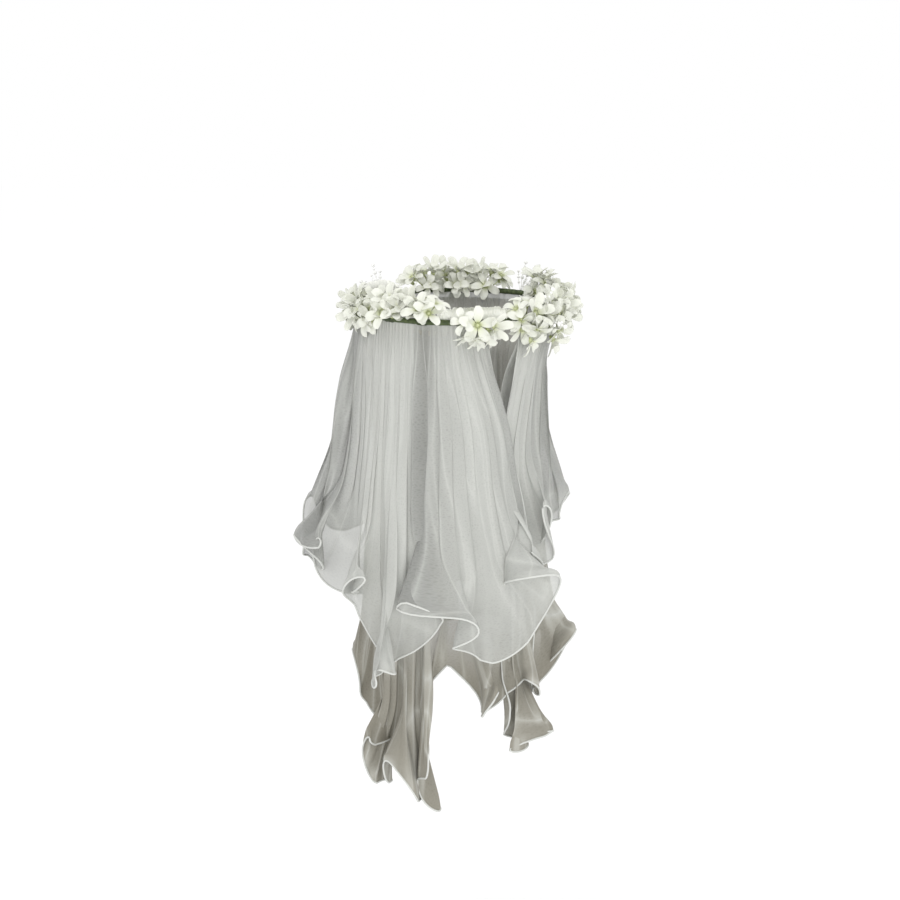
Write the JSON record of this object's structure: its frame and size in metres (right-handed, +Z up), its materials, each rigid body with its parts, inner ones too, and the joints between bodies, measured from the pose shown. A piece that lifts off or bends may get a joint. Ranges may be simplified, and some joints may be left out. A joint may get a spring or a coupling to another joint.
{
  "type": "flower crown",
  "caption": "Taped wire hoop set with silk flower sprays and beads, carrying a tiered gathered tulle veil with corded hems; worn round the top of the head.",
  "frame": {"origin": "middle of the hoop, in the plane of its wire, where the wearer's head holds it", "axes": "+Z up, -Y towards the side with the veil's slit, +X to that side's right as seen from outside"},
  "size_m": [0.2453, 0.2453, 0.4713],
  "materials": {
    "steel_wire": "drawn wire",
    "floral_tape": "waxed stretch tape",
    "stem_green": "moulded stem",
    "petal_silk": "off-white artificial silk",
    "clear_bead": "clear to pearl bead on fine wire",
    "satin_ribbon": "ivory satin",
    "veil_tulle": "sheer white tulle, seen in folds",
    "hem_cord": "white corded edge"
  },
  "bodies": {
    "root": {"bead_spray_1": "clear_bead", "bead_spray_2": "clear_bead", "bead_spray_3": "clear_bead", "floral_tape_wrap": "floral_tape", "flower_01_1": "petal_silk", "flower_01_2": "petal_silk", "flower_01_3": "petal_silk", "flower_02_1": "petal_silk", "flower_02_2": "petal_silk", "flower_02_3": "petal_silk", "flower_03_1": "petal_silk", "flower_03_2": "petal_silk", "flower_04_1": "petal_silk", "flower_04_2": "petal_silk", "flower_05_1": "petal_silk", "flower_05_2": "petal_silk", "flower_06_1": "petal_silk", "flower_06_2": "petal_silk", "flower_06_3": "petal_silk", "flower_07_1": "petal_silk", "flower_07_2": "petal_silk", "flower_07_3": "petal_silk", "flower_08_1": "petal_silk", "flower_08_2": "petal_silk", "flower_08_3": "petal_silk", "flower_09_1": "petal_silk", "flower_09_2": "petal_silk", "flower_09_3": "petal_silk", "flower_10_1": "petal_silk", "flower_10_2": "petal_silk", "flower_10_3": "petal_silk", "flower_11_1": "petal_silk", "flower_11_2": "petal_silk", "flower_12_1": "petal_silk", "flower_12_2": "petal_silk", "flower_12_3": "petal_silk", "flower_13_1": "petal_silk", "flower_13_2": "petal_silk", "hoop_wire": "steel_wire", "satin_ribbon_left": "satin_ribbon", "satin_ribbon_near": "satin_ribbon", "spray_stem_01": "stem_green", "spray_stem_02": "stem_green", "spray_stem_03": "stem_green", "spray_stem_04": "stem_green", "spray_stem_05": "stem_green", "spray_stem_06": "stem_green", "spray_stem_07": "stem_green", "spray_stem_08": "stem_green", "spray_stem_09": "stem_green", "spray_stem_10": "stem_green", "spray_stem_11": "stem_green", "spray_stem_12": "stem_green", "spray_stem_13": "stem_green", "veil_header": "veil_tulle", "veil_lower_hem": "hem_cord", "veil_lower_tier": "veil_tulle", "veil_upper_hem": "hem_cord", "veil_upper_tier": "veil_tulle", "wire_ferrule": "steel_wire"}
  },
  "joints": []
}
